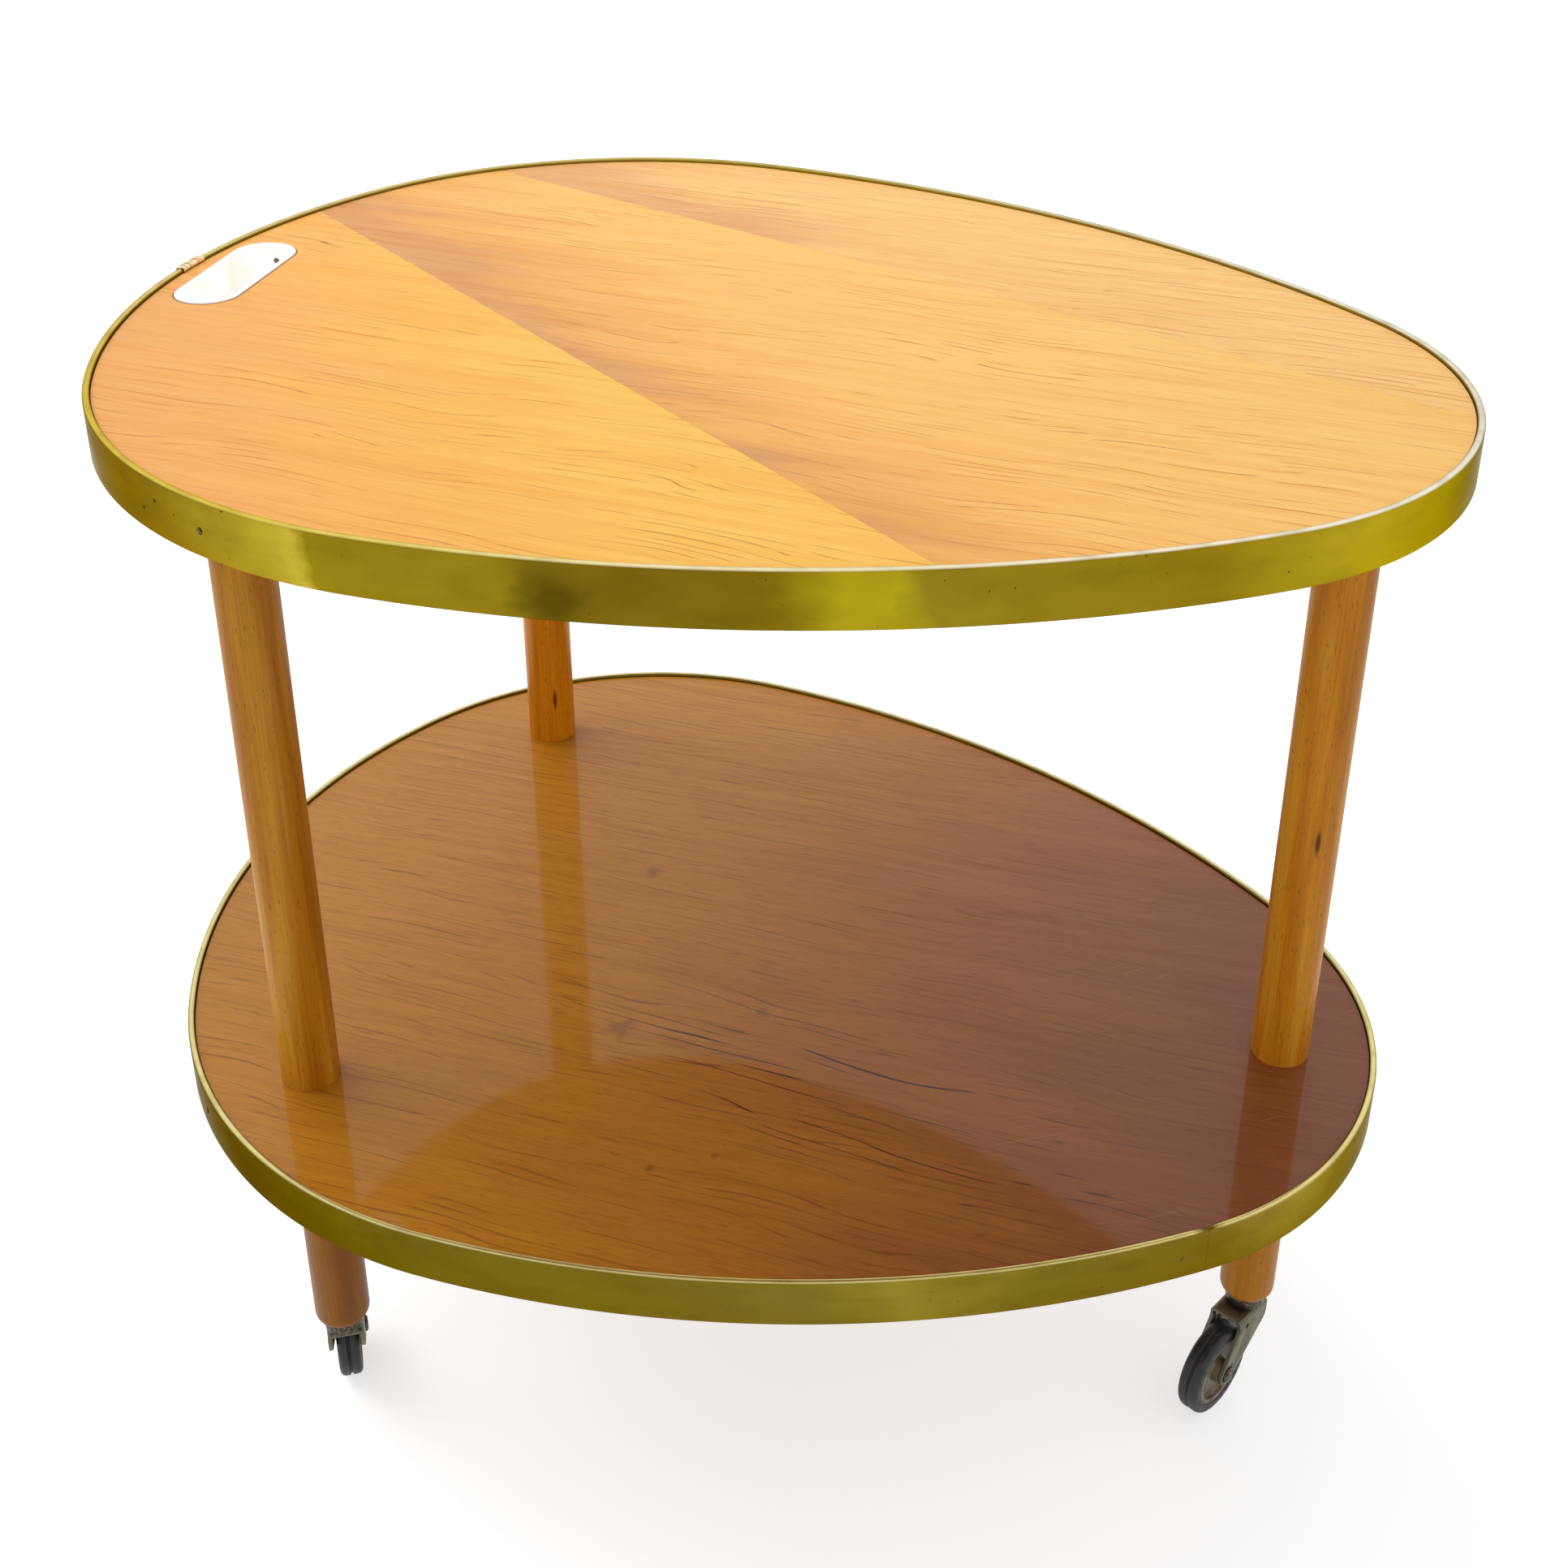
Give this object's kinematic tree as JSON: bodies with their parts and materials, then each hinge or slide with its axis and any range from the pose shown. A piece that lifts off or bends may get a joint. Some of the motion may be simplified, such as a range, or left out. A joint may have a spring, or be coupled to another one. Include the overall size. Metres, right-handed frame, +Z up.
{
  "type": "rolling side table",
  "caption": "Rolling side table with egg-shaped veneered shelves in brass bands, round wooden posts, a lined hand hole in the top and swivel casters.",
  "frame": {"origin": "on the floor under the middle of the shelves' bounding box", "axes": "+X towards the narrow end of the shelves, +Y towards the far long side, +Z up"},
  "size_m": [0.6192, 0.5098, 0.568],
  "materials": {
    "top_veneer": "book-matched veneer in a satin honey lacquer",
    "lower_veneer": "darker brown veneer in a gloss lacquer",
    "board": "blockboard core, unfinished underside",
    "beech": "turned beech in an amber lacquer",
    "brass_band": "rolled brass strip, polished and slightly tarnished",
    "brass_pin": "drawn brass, dulled",
    "clip": "pale plated brass",
    "liner": "white moulded plastic",
    "steel_nail": "steel wire, dull",
    "fork_steel": "stamped steel, worn zinc plating",
    "stem_steel": "turned steel",
    "hub": "moulded taupe plastic",
    "tyre": "dark grey rubber, scuffed"
  },
  "bodies": {
    "table": {"top_board": "board", "top_leaf_near": "top_veneer", "top_leaf_mid": "top_veneer", "top_leaf_far": "top_veneer", "top_band": "brass_band", "top_band_clip": "clip", "top_band_pins": "brass_pin", "grip_liner": "liner", "grip_nails": "steel_nail", "lower_board": "board", "lower_veneer": "lower_veneer", "lower_band": "brass_band", "lower_band_pins": "brass_pin", "post_dowels": "beech", "leg_studs": "stem_steel", "post_nose": "beech", "foot_nose": "beech", "post_near": "beech", "foot_near": "beech", "post_far": "beech", "foot_far": "beech", "caster_nose_stem": "stem_steel", "caster_nose_race": "stem_steel", "caster_near_stem": "stem_steel", "caster_near_race": "stem_steel", "caster_far_stem": "stem_steel", "caster_far_race": "stem_steel"},
    "swivel_nose": {"caster_nose_fork": "fork_steel", "caster_nose_axle": "stem_steel"},
    "wheel_nose": {"caster_nose_hub": "hub", "caster_nose_tyre": "tyre"},
    "swivel_near": {"caster_near_fork": "fork_steel", "caster_near_axle": "stem_steel"},
    "wheel_near": {"caster_near_hub": "hub", "caster_near_tyre": "tyre"},
    "swivel_far": {"caster_far_fork": "fork_steel", "caster_far_axle": "stem_steel"},
    "wheel_far": {"caster_far_hub": "hub", "caster_far_tyre": "tyre"}
  },
  "joints": [
    {"name": "nose_swivel", "type": "hinge", "parent": "table", "child": "swivel_nose", "pos_m": [0.2622, -0.0069, 0.055], "axis": [0, 0, 1], "continuous": true},
    {"name": "nose_wheel", "type": "hinge", "parent": "swivel_nose", "child": "wheel_nose", "pos_m": [0.25121, -0.03046, 0.025], "axis": [0.9063, -0.4226, 0], "continuous": true},
    {"name": "near_swivel", "type": "hinge", "parent": "table", "child": "swivel_near", "pos_m": [-0.1838, -0.1719, 0.055], "axis": [0, 0, 1], "continuous": true},
    {"name": "near_wheel", "type": "hinge", "parent": "swivel_near", "child": "wheel_near", "pos_m": [-0.19758, -0.14985, 0.025], "axis": [-0.848, -0.5299, 0], "continuous": true},
    {"name": "far_swivel", "type": "hinge", "parent": "table", "child": "swivel_far", "pos_m": [-0.2018, 0.1581, 0.055], "axis": [0, 0, 1], "continuous": true},
    {"name": "far_wheel", "type": "hinge", "parent": "swivel_far", "child": "wheel_far", "pos_m": [-0.18188, 0.17481, 0.025], "axis": [-0.6428, 0.766, 0], "continuous": true}
  ]
}
